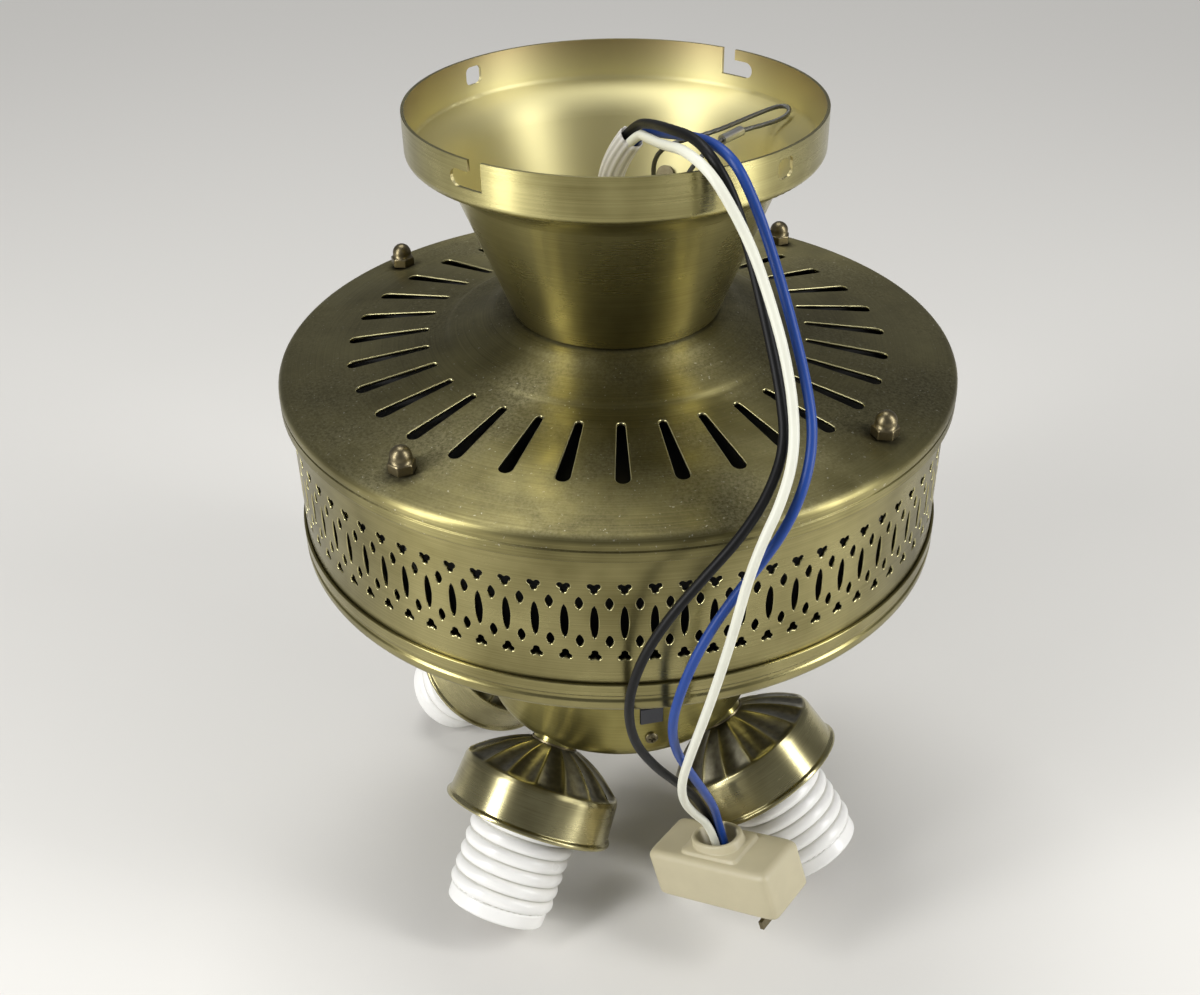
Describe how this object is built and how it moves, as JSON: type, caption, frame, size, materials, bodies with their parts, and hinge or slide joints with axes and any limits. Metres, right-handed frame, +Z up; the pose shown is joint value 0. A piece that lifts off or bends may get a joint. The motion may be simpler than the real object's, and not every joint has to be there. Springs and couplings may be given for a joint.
{
  "type": "ceiling fan with light",
  "caption": "Ceiling fan body in antique brass with a bell canopy, a pierced motor band, a switch cup and tilted lamp holders, shown without its blades and glass shades.",
  "frame": {"origin": "centre of the canopy's open rim, in the plane that meets the ceiling", "axes": "+Z up along the motor's axis, -Y toward the side that the picture shows, +X to its right"},
  "size_m": [0.2334, 0.2448, 0.3092],
  "materials": {
    "brushed_brass": "antique brass, spun and brushed round the axis, lacquered, with age marks",
    "bronze": "dark antique bronze plating",
    "zinc_steel": "zinc-plated steel",
    "core_steel": "bare electrical steel",
    "copper_wire": "enamelled copper",
    "black_enamel": "black enamel on cast aluminium",
    "grey_casting": "bare die casting",
    "white_plastic": "glossy moulded white plastic",
    "socket_brass": "thin bright brass",
    "black_plastic": "moulded black plastic",
    "grey_plastic": "moulded dark grey plastic",
    "ivory_plastic": "moulded ivory plastic",
    "black_rubber": "soft rubber",
    "white_sheath": "soft white sleeving",
    "white_insulation": "ivory-white wire insulation",
    "black_insulation": "black wire insulation",
    "blue_insulation": "blue wire insulation",
    "steel_rope": "twisted steel strands",
    "ferrule_aluminium": "crimped aluminium",
    "beige_plastic": "moulded beige plastic",
    "plug_brass": "bright brass strip"
  },
  "bodies": {
    "housing": {"canopy": "brushed_brass", "top_cover": "brushed_brass", "pierced_band": "brushed_brass", "bottom_cover": "brushed_brass", "switch_cup": "brushed_brass", "cup_lid": "brushed_brass", "lamp_collars": "brushed_brass", "shade_holder_1": "brushed_brass", "shade_holder_2": "brushed_brass", "shade_holder_3": "brushed_brass", "shade_holder_4": "brushed_brass", "acorn_nuts": "bronze", "anchor_washer": "zinc_steel", "canopy_nut": "zinc_steel", "earth_screw": "zinc_steel", "housing_screws": "zinc_steel", "shaft_nut": "zinc_steel", "cup_screws": "zinc_steel", "switch_screws": "zinc_steel", "lamp_nipples": "zinc_steel", "nipple_locknuts": "zinc_steel", "motor_shaft": "zinc_steel", "stator_core": "core_steel", "stator_windings": "copper_wire", "lamp_sleeve_1": "white_plastic", "lamp_sleeve_2": "white_plastic", "lamp_sleeve_3": "white_plastic", "lamp_sleeve_4": "white_plastic", "screw_shell_1": "socket_brass", "screw_shell_2": "socket_brass", "screw_shell_3": "socket_brass", "screw_shell_4": "socket_brass", "center_contact_1": "socket_brass", "center_contact_2": "socket_brass", "center_contact_3": "socket_brass", "center_contact_4": "socket_brass", "reverse_switch_body": "black_plastic", "run_capacitor": "black_plastic", "terminal_block": "ivory_plastic", "neck_gasket": "black_rubber", "wire_sheath": "white_sheath", "white_wire": "white_insulation", "black_wire": "black_insulation", "blue_wire": "blue_insulation", "safety_rope": "steel_rope", "rope_ferrule": "ferrule_aluminium", "plug_body": "beige_plastic", "plug_blades": "plug_brass"},
    "rotor": {"upper_bearing": "zinc_steel", "lower_bearing": "zinc_steel", "rotor_upper_shell": "black_enamel", "rotor_lower_shell": "black_enamel", "rotor_ring": "core_steel", "rotor_screws": "zinc_steel", "blade_flywheel": "grey_casting", "flywheel_screws": "zinc_steel"},
    "switch_knob": {"reverse_switch_knob": "grey_plastic"}
  },
  "joints": [
    {"name": "rotor_spin", "type": "hinge", "parent": "housing", "child": "rotor", "pos_m": [0, 0, -0.12], "axis": [0, 0, 1], "continuous": true},
    {"name": "reverse_switch", "type": "slide", "parent": "housing", "child": "switch_knob", "axis": [0, 0, 1], "range_m": [0, 0.0045]}
  ]
}
